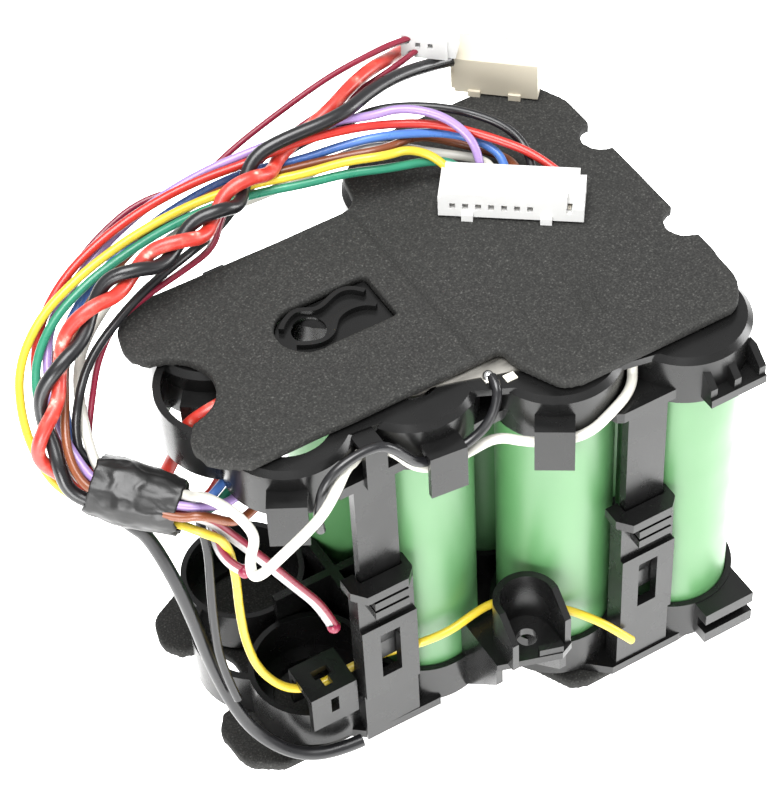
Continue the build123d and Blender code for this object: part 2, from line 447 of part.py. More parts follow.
# Control points from the plug, or from the soldered tab, to the far end
ROUTES = {
    "wire_sense_yellow": (SENSE_WIRE, [
        (4.3, 34.9, 75), (3.7, 38.3, 76.7), (-0.1, 41.2, 78.6), (-5.1, 39.9, 80.5), (-10.6, 42.4, 80.3),
        (-17.8, 43.6, 80.2), (-24.8, 45.9, 80.1), (-32.3, 47.1, 80.1), (-40.6, 46.9, 79.9),
        (-48.7, 45.9, 79.2), (-56.4, 44.4, 77.8), (-63.7, 42.7, 75.1), (-69.4, 39.4, 70.7),
        (-72, 34.4, 65.7), (-72.5, 29.3, 61.4), (-71.3, 25, 58), (-68.2, 21.3, 56.7), (-63, 16.4, 56.2),
        (-58.7, 11.3, 55.9), (-56.1, 7.9, 55.4), (-53.2, 7.3, 52.4), (-52.8, 6.3, 45.7), (-53.2, 5.9, 37.4),
        (-53, 5.6, 29), (-51.6, 4.8, 21.4), (-48.2, 2.8, 16.4), (-43.5, 1.6, 15.4), (-38.6, 1.4, 16.2),
        (-34.2, 0.6, 17.4), (-30.4, -1.0, 18.6), (-26.6, -3.4, 20.6), (-22.2, -4.6, 21.9),
        (-18.0, -4.1, 22.4), (-14.2, -3.6, 22.2), (-10.6, -4.2, 21.6), (-7.6, -6.6, 21), (-4.6, -9.1, 20.4),
        (-1.6, -11.4, 19), (1.4, -13.5, 16.6), (3.6, -15.1, 14.2), (5.2, -15.4, 12)]),
    "wire_sense_green": (SENSE_WIRE, [
        (5.9, 33.7, 75), (6.2, 37.3, 75.1), (3.2, 39.8, 75.6), (-4.7, 39.8, 77.8), (-10.5, 41.9, 78.2),
        (-17.7, 42.9, 78.7), (-24.7, 44.8, 79), (-32.1, 45.9, 79.1), (-40.3, 45.7, 79), (-48.1, 44.7, 78.3),
        (-55.6, 43.4, 77), (-62.4, 41.7, 74.2), (-67.2, 38.8, 69.9), (-69.2, 34.2, 65.5),
        (-69.2, 29.5, 62.2), (-67.8, 25.7, 60), (-66.4, 22.6, 59.2), (-61.9, 17.5, 58), (-57.6, 12.6, 57.4),
        (-54.3, 9.1, 57.9), (-49, 11.2, 59.1), (-43.9, 14, 59.5), (-39.1, 18, 59.6), (-36.9, 20.4, 61.2),
        (-36.2, 20.4, 64.8), (-36.2, 20.4, 68.7)]),
    "wire_sense_red": (SENSE_WIRE, [
        (18.7, 24.1, 75), (17, 30, 76.9), (12, 36.1, 78.7), (5, 42.1, 80.8), (-3.1, 45.7, 81.6),
        (-10, 45.3, 84), (-17.5, 46.6, 84.2), (-24.8, 47.9, 82.8), (-32.5, 49.1, 82.3), (-41.1, 49.1, 81.5),
        (-49.4, 48.3, 79.8), (-57, 46.7, 77.3), (-63.2, 43.9, 73.3), (-67, 40, 68.5), (-68, 34.9, 64.2),
        (-67.6, 29.8, 61.8), (-66.4, 25.8, 60.7), (-65.6, 23.7, 60.1), (-60.7, 19, 58.4),
        (-56.4, 14.6, 56.6), (-53.3, 12.9, 56.2), (-49, 15.6, 57), (-45, 18.6, 58.4), (-43.4, 20.3, 61.6), (-43.1, 20.4, 65), (-43.1, 20.4, 68.7)]),
    "wire_sense_purple": (SENSE_WIRE, [
        (7.5, 32.5, 75), (8.9, 35.3, 77.9), (7.7, 38.4, 81.1), (4.9, 41.8, 83.1), (0.4, 45, 83.9),
        (-4.1, 46.3, 83.3), (-9.3, 47, 84.6), (-17.1, 48.1, 84.3), (-24.4, 49.2, 83.5), (-32.1, 50.7, 81.9),
        (-40.7, 50.3, 80.4), (-48.6, 48.7, 78.4), (-55.6, 46.4, 75.8), (-61.7, 43.4, 73),
        (-65.3, 38.9, 69.1), (-67.2, 33.2, 66.6), (-68.2, 27.6, 65), (-67.9, 23.2, 63.4),
        (-67.4, 19.9, 62.5), (-62.8, 14.9, 61.4), (-58.2, 10.5, 60.3), (-55.3, 8.5, 60.4),
        (-51.5, 8.5, 58.7), (-46.5, 10.4, 58.8), (-41.5, 10.2, 58.6), (-36, 9, 58.6), (-30.4, 8.2, 58.6)]),
    "wire_sense_white": (WHITE_WIRE, [
        (9.1, 31.3, 75), (10.9, 34.7, 74.4), (9.8, 38.3, 73.9), (5.7, 41.6, 74.2), (1.2, 43.7, 75.9),
        (-4.1, 43.5, 79.4), (-10, 46, 78.2), (-17.5, 45.9, 77.1), (-24.6, 46.8, 76.3), (-32.1, 47.7, 75.9),
        (-40.3, 46.6, 75.6), (-47.6, 44.2, 74.6), (-54.1, 41.1, 73.1), (-59.3, 37.9, 71.2),
        (-62.4, 34.3, 68.7), (-64, 30.2, 66.2), (-65.3, 25.8, 64.1), (-66.1, 20.4, 61.9), (-61.1, 16, 61.2),
        (-56.5, 12, 60.2), (-55.7, 6.3, 65.2), (-54.1, 2.3, 65.4), (-53.3, -0.8, 65.2), (-52.3, -1.9, 62.1),
        (-54.4, -3.2, 59.6), (-55.7, -7.2, 59.8), (-50.9, -8.4, 64.5), (-46.2, -7.8, 66.4),
        (-43.4, -6.7, 66.9), (-40.3, -5, 68.2), (-37.5, -2.9, 69.2), (-35.2, -1.2, 67.6),
        (-33.2, 0.2, 67.5), (-31.3, 0.1, 67.3), (-29, -2, 66.6), (-26.7, -3.7, 63.3), (-22.6, -4.4, 61.6),
        (-17.6, -4.2, 61.8), (-13.1, -4.4, 62.6), (-10, -7.5, 62.4), (-6.1, -9.8, 62.1),
        (-1.2, -11.4, 62.6), (3.4, -11, 65), (6.2, -9.8, 65), (8.2, -8.4, 65.4), (9.3, -6.8, 66.4), (9.3, -6.8, 68.7)]),
    "wire_sense_blue": (SENSE_WIRE, [
        (10.7, 30.1, 75), (12.6, 33.6, 75.7), (11.2, 37.7, 77), (6.5, 41.7, 78.5), (-3.6, 43.5, 81.3),
        (-9.7, 45.8, 80.4), (-17.2, 47.2, 79.7), (-24.4, 49.1, 80), (-32.2, 49.9, 78.9), (-40.6, 49, 78),
        (-48.2, 47.1, 76.3), (-55, 44.8, 74.1), (-60.4, 41.8, 71.4), (-63.8, 37.9, 68.1), (-65.5, 33, 65.5),
        (-67.1, 28.7, 63.3), (-68, 25.2, 61.5), (-67.4, 22.4, 60.6), (-62.4, 17.5, 59.6),
        (-57.6, 12.9, 58.9), (-54.4, 10.2, 59.2), (-52, 10.9, 59.9), (-47.6, 13.6, 60), (-43.5, 17.2, 59.9),
        (-40, 19.6, 60), (-38.1, 20.4, 62.4), (-37.9, 20.4, 65.4), (-37.9, 20.4, 68.7)]),
    "wire_sense_brown": (SENSE_WIRE, [
        (12.3, 28.9, 75), (14.3, 32.5, 74.3), (13.2, 37, 74.1), (7.6, 42.4, 75.5), (2.5, 43.9, 78),
        (-4.2, 41.7, 80), (-10.1, 44, 79.8), (-17.3, 45.7, 79.9), (-24.4, 47.4, 79.7), (-32.1, 48.3, 79.2),
        (-40.3, 47.5, 78.4), (-47.9, 45.5, 76.9), (-54.5, 42.4, 75.3), (-60, 39.2, 73.2),
        (-63.6, 35.6, 70.7), (-65.9, 31.2, 68.4), (-68.4, 26.7, 66.5), (-69.4, 22.9, 64),
        (-68.7, 19.2, 61.8), (-63.8, 14.2, 60.5), (-59.4, 9.4, 59.4), (-56, 7.3, 60.3), (-51.5, 6.4, 56),
        (-46.4, 8, 56.7), (-41.4, 8.2, 56.6), (-36, 7.4, 56.6), (-30.4, 6.8, 56.6)]),
    "wire_sense_black": (SENSE_WIRE, [
        (13.9, 27.7, 75), (16.5, 32, 75.8), (15.4, 37.1, 78.7), (10.2, 42.3, 80.7), (3.8, 46.4, 81.8),
        (-2.6, 49, 81.9), (-8.9, 47.4, 82.6), (-16.3, 49.9, 80.3), (-23.8, 49.7, 76.3), (-31.8, 46.3, 73.2),
        (-40.1, 41.4, 76), (-48.3, 38.8, 75.6), (-55.9, 35.4, 74.2), (-60.9, 32.9, 72.2),
        (-64.5, 29.3, 69.8), (-66.3, 27.6, 66.1), (-67.1, 25.3, 62.1), (-61.5, 20.1, 60.5),
        (-58.5, 17.3, 59.8), (-55.3, 14, 59), (-55.6, 10.4, 54.6), (-55.6, 8.9, 50), (-56.6, 7.6, 43.7),
        (-57.4, 6.5, 35.8), (-57.8, 5.1, 27.4), (-56.6, 3, 20)]),
    "wire_power_black": (POWER_WIRE, [
        (16.7, 55.9, 78.3), (11.5, 54.9, 80.2), (4.4, 52.7, 82.9), (-2.2, 49.6, 85), (-9.4, 45.6, 86.5),
        (-20.2, 46.7, 85.7), (-24.6, 46.7, 84.4), (-27.5, 44.6, 81.6), (-29.9, 41, 81.8), (-33.5, 40, 83.8),
        (-38.1, 41, 83), (-41.6, 39.5, 80.6), (-45.4, 36.9, 80.7), (-49.8, 37.1, 82.4), (-54, 38.6, 81.4),
        (-57.4, 37, 78.1), (-60.7, 33, 77.1), (-65.9, 31, 76.4), (-69.6, 31.1, 72.5), (-70.3, 29.6, 68.1),
        (-70.3, 26.8, 66), (-71.1, 23.8, 64), (-71, 21.5, 60.4), (-67.4, 18, 58.9), (-64.6, 14.9, 55.7),
        (-62.7, 14, 52.7), (-61.2, 11, 46.1), (-59.9, 8.9, 37.5), (-58.6, 7.1, 26), (-57, 5, 17),
        (-54.5, 2.5, 9.5), (-50, -1, 4.8), (-44.5, -3.4, 3.6), (-39, -3.8, 3.6)]),
    "wire_power_red": (POWER_WIRE, [
        (19.5, 58.9, 77.2), (16.4, 61.8, 77.4), (11.6, 61.8, 78.8), (6.6, 58.5, 81.4), (1.7, 55.5, 83.9),
        (-3.8, 52.8, 84.6), (-9.2, 49.9, 84.4), (-19.5, 48, 81.5), (-22.6, 44.3, 82.1), (-26.6, 43.2, 84.4),
        (-30.9, 43.5, 83.5), (-33.9, 41.8, 81.1), (-37.2, 38.4, 81.3), (-41.2, 37.9, 83.2),
        (-45.6, 39.5, 82.5), (-49.4, 38.9, 79.8), (-53.1, 36, 79.7), (-57.9, 35.2, 80.8),
        (-62.7, 35.2, 78.2), (-65.2, 32.9, 74), (-67.5, 29, 71.3), (-71.7, 26.9, 69), (-73.4, 26.6, 64.8),
        (-70.8, 25.1, 61.1), (-66.4, 23.6, 55.5), (-61.2, 21.1, 55.2), (-57.1, 21, 54), (-54, 21.9, 57.3), (-52.6, 20.9, 61.7), (-52.2, 19.2, 66.2), (-49.2, 17.8, 69), (-44.1, 18.2, 69)]),
    "wire_thermistor_1": (TWIN_LEAD, [
        (12, 58, 84), (7, 57.8, 84.8), (1.9, 57.1, 85.1), (-5.5, 56.6, 84.6), (-15, 55.1, 83.2),
        (-25, 53.2, 81.5), (-33, 50.4, 80), (-41.1, 52.7, 79.7), (-49.4, 51.2, 77.6), (-56.4, 48.6, 74.8),
        (-61.8, 44.5, 71.3), (-64.5, 39.4, 67.3), (-66.7, 34.2, 65.1), (-68.7, 28.9, 63.8),
        (-69.3, 24.5, 62.1), (-68.3, 20.7, 60.9), (-63.2, 15.5, 59.7), (-58.5, 10.9, 58.7),
        (-55.3, 8.3, 57.8), (-52.9, 8.8, 53.5), (-48.7, 4.9, 47.5), (-44.8, 2.6, 40.7), (-41.5, 1.4, 35),
        (-40.2, 0.4, 30)]),
    "wire_thermistor_2": (TWIN_LEAD, [
        (11.5, 57.4, 82), (6.6, 56, 81.6), (-2.3, 54.8, 80.8), (-11.9, 53.9, 80), (-19.9, 51.8, 78.9),
        (-27, 48.5, 78.1), (-31.9, 44.6, 77.1), (-34.9, 41.5, 75.3), (-39.8, 40.6, 74.5),
        (-47.5, 39.2, 74.1), (-54.1, 37.5, 73.2), (-58.8, 34.4, 70.5), (-61.9, 31.1, 66.6), (-64.2, 29, 62),
        (-66.4, 24.7, 58), (-63.2, 19.7, 57), (-59.8, 16.5, 56), (-56.6, 13.7, 55.4), (-53.5, 11.4, 54.6),
        (-54.8, 6.5, 49.3), (-52.4, 3.6, 48.6)]),
    "wire_jumper": (JUMPER_WIRE, [
        (-11.4, -0.45, 71.0), (-11.6, -2.5, 70.9), (-12.8, -3.9, 68.6), (-14.8, -4.6, 66.3),
        (-17.8, -4.7, 64.6), (-21.4, -4.6, 64), (-24.7, -4.4, 64.1), (-26.9, -4.4, 65.2), (-28.4, -4.1, 67.2),
        (-29.7, -3.9, 69.1), (-31.7, -3.4, 71), (-34.3, -3.2, 71.3), (-37, -3.3, 71.1), (-39.6, -3.5, 70.4),
        (-41.8, -3.8, 68.6), (-42.8, -3.9, 65.4), (-43.1, -3.7, 62.1), (-42.7, -3.5, 59.2)])}


def bend_radii(points):
    """Radius of each bend: 0.45 of its shorter run over the tangent of half the turn."""
    radii = []
    for before, here, after in zip(points, points[1:], points[2:]):
        run_in = Vector(*here) - Vector(*before)
        run_out = Vector(*after) - Vector(*here)
        half_turn = math.radians(run_in.get_angle(run_out)) / 2
        radii.append(0.45 * min(run_in.length, run_out.length) / math.tan(half_turn))
    return radii


def route(points):
    return FilletPolyline(*points, radius=bend_radii(points))


def cord(diameter, points):
    path = route(points)
    section = Plane(origin=path @ 0, z_dir=path % 0) * Circle(diameter / 2)
    return sweep(section, path=path)


def report_cord(name, diameter, points, tube):
    """Print the length, the tightest bends and the volume against section times length."""
    length = route(points).length
    ideal = math.pi * (diameter / 2) ** 2 * length
    tightest = ", ".join(f"{radius:.1f}" for radius in sorted(bend_radii(points))[:3])
    print(f"{name}: {length:.1f} mm, tightest bends {tightest} mm, volume {tube.volume / ideal:.3f} of ideal")


def make_wires():
    tubes = {}
    for name, (diameter, points) in ROUTES.items():
        tubes[name] = cord(diameter, points)
        report_cord(name, diameter, points, tubes[name])
        save(name, tubes[name])
    return tubes


# Plugs, tape and beads --------------------------------------------------------

PLUG_FOOT = 72.6
PAD_FACE = PACK_TOP
SENSE_PITCH = 2.0
SENSE_PLUG = (10.0, 27.5, -37)
POWER_PLUG = (23.2, 52.9, -42)
THERMISTOR_PLUG = (13.0, 57.5, -42)
THERMISTOR_FOOT = 81.2
TAPE_ENDS = [(-67.0, 21.5, 60.0), (-57.6, 12.0, 58.0)]
TAPE_INNER = 4.2
TAPE_OUTER = 4.6
BEAD_RADIUS = 1.1


def turned_to(place, *pieces):
    x, y, angle = place
    return [Pos(x, y, 0) * Rot(0, 0, angle) * piece for piece in pieces]


def without(piece, tubes, names):
    for name in names:
        piece -= tubes[name]
    return piece


def sense_plug():
    """Ten-way plug: holes for the eight fitted ways face -Y, wires enter from +Y."""
    half, depth, height = 11.25, 3.5, 4.8
    top = PLUG_FOOT + height
    body = block(-half, half, -depth, depth, PLUG_FOOT, top)
    body -= block(half - 1.0, half + 1, -depth - 1, depth + 1, top - 1.4, top + 1)
    body -= block(half - 2.6, half + 1, -depth - 1, -depth + 1.2, top - 2.2, top + 1)
    body -= block(-half - 1, -half + 0.6, -depth - 1, depth + 1, top - 1.0, top + 1)
    for x in (-7.6, 4.6):
        body += block(x, x + 1.8, -depth - 0.7, -depth + 2.5, PAD_FACE, PLUG_FOOT + 0.9)
    contacts = []
    for way in (0, 1, 2, 3, 4, 5, 6, 9):
        x = -9.0 + SENSE_PITCH * way
        middle = PLUG_FOOT + 2.1
        body -= block(x - 0.45, x + 0.45, -depth - 1, -depth + 3.0, middle - 0.55, middle + 0.55)
        contacts.append(block(x - 0.25, x + 0.25, -depth + 0.8, -depth + 3.0, middle - 0.3, middle + 0.3))
    return body, contacts


def power_plug():
    half, depth, height = 7.15, 3.25, 6.8
    body = block(-half, half, -depth, depth, PLUG_FOOT, PLUG_FOOT + height)
    body -= block(-half - 1, -half + 0.7, -depth - 1, -depth + 0.7, PLUG_FOOT - 1, PLUG_FOOT + height + 1)
    for x in (-4.2, 2.4):
        body += block(x, x + 2.0, -depth - 0.5, -depth + 2.5, PAD_FACE, PLUG_FOOT + 0.7)
    return body


def thermistor_plug():
    half, depth, height = 3.75, 2.5, 5.0
    body = block(-half, half, -depth, depth, THERMISTOR_FOOT, THERMISTOR_FOOT + height)
    body += block(half, half + 1.2, -depth + 0.6, depth - 0.6, THERMISTOR_FOOT, THERMISTOR_FOOT + 3.6)
    for x in (1.0, -1.0):
        body -= block(x - 0.4, x + 0.4, -depth - 1, -depth + 1.5, THERMISTOR_FOOT + 2.0, THERMISTOR_FOOT + 3.0)
    return body


def make_plugs(tubes):
    sense_wires = [name for name in tubes if name.startswith("wire_sense")]
    body, contacts = sense_plug()
    body, *contacts = turned_to(SENSE_PLUG, body, *contacts)
    save("sense_connector", without(body, tubes, sense_wires))
    save("sense_contacts", *contacts)
    body, = turned_to(POWER_PLUG, power_plug())
    save("power_connector", without(body, tubes, ["wire_power_black", "wire_power_red"]))
    body, = turned_to(THERMISTOR_PLUG, thermistor_plug())
    save("thermistor_connector", without(body, tubes, ["wire_thermistor_1", "wire_thermistor_2"]))


def make_tape(tubes):
    start, end = Vector(*TAPE_ENDS[0]), Vector(*TAPE_ENDS[1])
    axis = Plane(origin=start, z_dir=end - start)
    length = (end - start).length
    wrap = axis * (Pos(0, 0, length / 2) * Cylinder(TAPE_OUTER, length))
    wrap -= axis * (Pos(0, 0, length / 2) * Cylinder(TAPE_INNER, length + 1))
    for name in ("wire_power_black", "wire_power_red"):
        diameter, points = ROUTES[name]
        wrap -= cord(diameter + 0.1, points)
    save("tape_wrap", wrap)


def make_beads(tubes):
    for number in (1, 2):
        wire = f"wire_thermistor_{number}"
        bead = Pos(*ROUTES[wire][1][-1]) * Sphere(BEAD_RADIUS)
        save(f"thermistor_bead_{number}", bead - tubes[wire])


make_cells()
make_strips()
make_upper_holder()
make_lower_holder()
make_foam()
wire_tubes = make_wires()
make_plugs(wire_tubes)
make_tape(wire_tubes)
make_beads(wire_tubes)
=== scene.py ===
import math

import bpy
from mathutils import Matrix, Vector, noise


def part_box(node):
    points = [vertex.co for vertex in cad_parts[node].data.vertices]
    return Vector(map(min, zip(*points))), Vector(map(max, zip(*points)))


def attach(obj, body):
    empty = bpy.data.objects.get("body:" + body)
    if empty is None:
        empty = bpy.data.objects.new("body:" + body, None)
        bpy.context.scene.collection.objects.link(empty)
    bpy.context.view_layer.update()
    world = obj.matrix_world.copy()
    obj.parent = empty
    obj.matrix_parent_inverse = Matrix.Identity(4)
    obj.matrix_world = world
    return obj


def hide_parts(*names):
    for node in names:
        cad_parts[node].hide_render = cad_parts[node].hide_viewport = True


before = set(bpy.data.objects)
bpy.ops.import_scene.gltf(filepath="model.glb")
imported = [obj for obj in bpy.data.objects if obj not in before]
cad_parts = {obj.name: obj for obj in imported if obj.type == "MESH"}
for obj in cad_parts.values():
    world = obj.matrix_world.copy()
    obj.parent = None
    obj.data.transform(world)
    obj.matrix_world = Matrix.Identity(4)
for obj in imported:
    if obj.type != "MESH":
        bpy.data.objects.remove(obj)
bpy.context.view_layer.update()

MM = 0.001

# The routes' places are given from the axis of the front middle cell, as in the part's source
can_low, can_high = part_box("cell_can_2")
DATUM = Vector(((can_low[0] + can_high[0]) / 2, (can_low[1] + can_high[1]) / 2, 0.0))


def place(x, y, z):
    """A point given in millimetres from the datum, in the frame's metres."""
    return DATUM + Vector((x, y, z)) * MM


# Camera ----------------------------------------------------------------------

VIEW_AZIMUTH = math.radians(28.096)
VIEW_ELEVATION = math.radians(47.755)
VIEW_ROLL = math.radians(-3.392)
VIEW_DISTANCE = 0.4256
VIEW_TARGET = place(-10.77, 32.35, 35.0)
CLIP_START = 0.01
# Blender takes these two in millimetres
LENS = 116.58
SENSOR_WIDTH = 36.0


def add_object(name, data):
    """A new object in the scene that shows the data."""
    added = bpy.data.objects.new(name, data)
    bpy.context.collection.objects.link(added)
    return added


def make_camera():
    """The photograph's view, worked out from the object's own edges."""
    forward = Vector((math.sin(VIEW_AZIMUTH) * math.cos(VIEW_ELEVATION),
                      math.cos(VIEW_AZIMUTH) * math.cos(VIEW_ELEVATION),
                      -math.sin(VIEW_ELEVATION)))
    level_right = forward.cross(Vector((0, 0, 1))).normalized()
    level_up = level_right.cross(forward)
    right = math.cos(VIEW_ROLL) * level_right + math.sin(VIEW_ROLL) * level_up
    up = math.cos(VIEW_ROLL) * level_up - math.sin(VIEW_ROLL) * level_right
    data = bpy.data.cameras.new("camera")
    data.lens = LENS
    data.sensor_width = SENSOR_WIDTH
    data.clip_start = CLIP_START
    camera = add_object("camera", data)
    turn = Matrix((right, up, -forward)).transposed().to_4x4()
    camera.matrix_world = Matrix.Translation(VIEW_TARGET - forward * VIEW_DISTANCE) @ turn
    bpy.context.scene.camera = camera


make_camera()

# Materials -------------------------------------------------------------------

# Nearly all of a noise's values lie between these two
NOISE_LOW = 0.3
NOISE_HIGH = 0.7


class Surface:
    """A procedural material: noises in the frame's own space feed its colour, gloss and bump.

    A noise's scale is in features per metre, and a bump's distance is in metres.
    """

    def __init__(self, name, roughness=0.5, metallic=0.0, coat=0.0, coat_roughness=0.15,
                 specular=0.5):
        self.material = bpy.data.materials.new(name)
        self.material.use_nodes = True
        self.nodes = self.material.node_tree.nodes
        self.links = self.material.node_tree.links
        self.shader = self.nodes["Principled BSDF"]
        self.set("Roughness", roughness)
        self.set("Metallic", metallic)
        self.set("Coat Weight", coat)
        self.set("Coat Roughness", coat_roughness)
        self.set("Specular IOR Level", specular)
        self.space = self.nodes.new("ShaderNodeTexCoord").outputs["Object"]

    def set(self, socket, value):
        self.shader.inputs[socket].default_value = value

    def subsurface(self, weight, radius):
        self.set("Subsurface Weight", weight)
        self.set("Subsurface Radius", radius)
        self.set("Subsurface Scale", 1.0)

    def noise(self, scale, detail=4.0, stretch=(1, 1, 1)):
        mapping = self.nodes.new("ShaderNodeMapping")
        mapping.inputs["Scale"].default_value = stretch
        texture = self.nodes.new("ShaderNodeTexNoise")
        texture.inputs["Scale"].default_value = scale
        texture.inputs["Detail"].default_value = detail
        self.links.new(self.space, mapping.inputs["Vector"])
        self.links.new(mapping.outputs["Vector"], texture.inputs["Vector"])
        return texture.outputs["Fac"]

    def colour(self, factor, stops):
        """Base colour from a noise, by a ramp through the stops."""
        ramp = self.nodes.new("ShaderNodeValToRGB")
        elements = ramp.color_ramp.elements
        while len(elements) < len(stops):
            elements.new(0.5)
        for element, (position, colour) in zip(elements, stops):
            element.position = position
            element.color = (*colour, 1.0)
        self.links.new(factor, ramp.inputs["Fac"])
        self.links.new(ramp.outputs["Color"], self.shader.inputs["Base Color"])

    def two_tone(self, factor, dark, light):
        self.colour(factor, [(NOISE_LOW, dark), (NOISE_HIGH, light)])

    def gloss(self, factor, low, high):
        """Roughness between low and high, as the noise goes."""
        spread = self.nodes.new("ShaderNodeMapRange")
        spread.inputs["To Min"].default_value = low
        spread.inputs["To Max"].default_value = high
        spread.inputs["From Min"].default_value = NOISE_LOW
        spread.inputs["From Max"].default_value = NOISE_HIGH
        self.links.new(factor, spread.inputs["Value"])
        self.links.new(spread.outputs["Result"], self.shader.inputs["Roughness"])

    def bump(self, factor, strength, distance):
        """A bump on top of the ones the material already has."""
        bump = self.nodes.new("ShaderNodeBump")
        bump.inputs["Strength"].default_value = strength
        bump.inputs["Distance"].default_value = distance
        self.links.new(factor, bump.inputs["Height"])
        previous = self.shader.inputs["Normal"]
        if previous.is_linked:
            self.links.new(previous.links[0].from_socket, bump.inputs["Normal"])
        self.links.new(bump.outputs["Normal"], previous)


def shade(colour, amount):
    """The colour, darker by the amount."""
    return tuple(channel * amount for channel in colour)


def make_plastic():
    surface = Surface("black_plastic", specular=0.36)
    surface.two_tone(surface.noise(55), (0.003, 0.003, 0.003), (0.006, 0.006, 0.006))
    surface.gloss(surface.noise(140, 6), 0.20, 0.34)
    surface.bump(surface.noise(2600, 3), strength=0.10, distance=0.00004)
    surface.bump(surface.noise(45, 2), strength=0.25, distance=0.0003)
    return surface.material


def make_sleeve_film():
    surface = Surface("green_sleeve", coat=0.3, coat_roughness=0.38, specular=0.6)
    surface.two_tone(surface.noise(70, 3, (1, 1, 0.25)),
                     (0.048, 0.148, 0.050), (0.064, 0.182, 0.064))
    surface.gloss(surface.noise(120, 4), 0.40, 0.52)
    surface.bump(surface.noise(60, 3, (1, 1, 0.3)), strength=0.08, distance=0.0003)
    return surface.material


def make_metal(name, colour, low, high, stretch=(1, 1, 1)):
    surface = Surface(name, metallic=1.0)
    surface.two_tone(surface.noise(90, 4), shade(colour, 0.86), colour)
    surface.gloss(surface.noise(700, 5, stretch), low, high)
    surface.bump(surface.noise(900, 4, stretch), strength=0.15, distance=0.00005)
    return surface.material


def make_paper():
    surface = Surface("paper", roughness=0.85)
    surface.two_tone(surface.noise(900, 5), (0.62, 0.59, 0.50), (0.78, 0.75, 0.66))
    surface.bump(surface.noise(1500, 5), strength=0.3, distance=0.00006)
    return surface.material


def make_foam_skin():
    surface = Surface("foam", roughness=0.8, specular=0.22)
    surface.colour(surface.noise(3400, 5),
                   [(0.32, (0.010, 0.010, 0.0095)), (0.52, (0.018, 0.018, 0.017)),
                    (0.63, (0.028, 0.028, 0.026)), (0.76, (0.075, 0.075, 0.070))])
    surface.bump(surface.noise(2800, 5), strength=0.4, distance=0.00012)
    surface.bump(surface.noise(300, 3), strength=0.15, distance=0.0003)
    return surface.material


def make_tape_film():
    surface = Surface("tape", specular=0.38)
    surface.two_tone(surface.noise(160, 4), (0.005, 0.005, 0.005), (0.011, 0.011, 0.011))
    surface.gloss(surface.noise(220, 5), 0.28, 0.48)
    surface.bump(surface.noise(700, 6, (1.0, 0.5, 0.5)), strength=0.35, distance=0.00025)
    return surface.material


def make_nylon(name, colour):
    surface = Surface(name, specular=0.4)
    surface.subsurface(0.12, (0.0008, 0.0008, 0.0007))
    surface.two_tone(surface.noise(120, 3), shade(colour, 0.94), colour)
    surface.gloss(surface.noise(300, 4), 0.38, 0.55)
    surface.bump(surface.noise(1800, 3), strength=0.12, distance=0.00004)
    return surface.material


def make_insulation(name, colour):
    surface = Surface("insulation_" + name, specular=0.45)
    surface.two_tone(surface.noise(160, 4), shade(colour, 0.82), colour)
    surface.gloss(surface.noise(260, 4), 0.24, 0.38)
    surface.bump(surface.noise(500, 4), strength=0.10, distance=0.0001)
    return surface.material


def make_scuffed_red():
    surface = Surface("insulation_scuffed_red", coat=0.15)
    surface.colour(surface.noise(420, 8),
                   [(0.30, (0.30, 0.016, 0.010)), (0.52, (0.40, 0.026, 0.016)),
                    (0.62, (0.46, 0.07, 0.05)), (0.70, (0.62, 0.34, 0.29))])
    surface.gloss(surface.noise(420, 8), 0.30, 0.55)
    surface.bump(surface.noise(650, 5), strength=0.2, distance=0.0001)
    return surface.material


def make_clear_lead():
    surface = Surface("clear_lead", coat=0.2)
    surface.subsurface(0.2, (0.0006, 0.0005, 0.0005))
    surface.two_tone(surface.noise(300, 4), (0.25, 0.24, 0.245), (0.36, 0.35, 0.355))
    surface.gloss(surface.noise(260, 4), 0.2, 0.35)
    surface.bump(surface.noise(600, 3), strength=0.08, distance=0.0001)
    return surface.material


PLASTIC = make_plastic()
SLEEVE_FILM = make_sleeve_film()
STEEL = make_metal("cell_steel", (0.62, 0.62, 0.60), 0.22, 0.38)
NICKEL = make_metal("nickel_strip", (0.60, 0.58, 0.53), 0.25, 0.45, (0.15, 1, 1))
TIN = make_metal("contact_tin", (0.62, 0.58, 0.50), 0.28, 0.45)
SOLDER = make_metal("solder", (0.78, 0.78, 0.78), 0.10, 0.22)
PAPER = make_paper()
FOAM_SKIN = make_foam_skin()
TAPE_FILM = make_tape_film()
NYLON_WHITE = make_nylon("nylon_white", (0.52, 0.52, 0.51))
NYLON_CREAM = make_nylon("nylon_cream", (0.48, 0.44, 0.35))
BEAD = make_insulation("bead", (0.20, 0.008, 0.035))
INSULATION = {
    "yellow": make_insulation("yellow", (0.54, 0.40, 0.030)),
    "green": make_insulation("green", (0.020, 0.17, 0.10)),
    "red": make_insulation("red", (0.38, 0.020, 0.014)),
    "purple": make_insulation("purple", (0.25, 0.165, 0.36)),
    "white": make_insulation("white", (0.50, 0.49, 0.44)),
    "blue": make_insulation("blue", (0.055, 0.14, 0.40)),
    "brown": make_insulation("brown", (0.16, 0.045, 0.016)),
    "black": make_insulation("black", (0.007, 0.007, 0.008)),
    "scuffed_red": make_scuffed_red(),
    "clear": make_clear_lead(),
    "crimson": make_insulation("crimson", (0.16, 0.008, 0.024)),
}

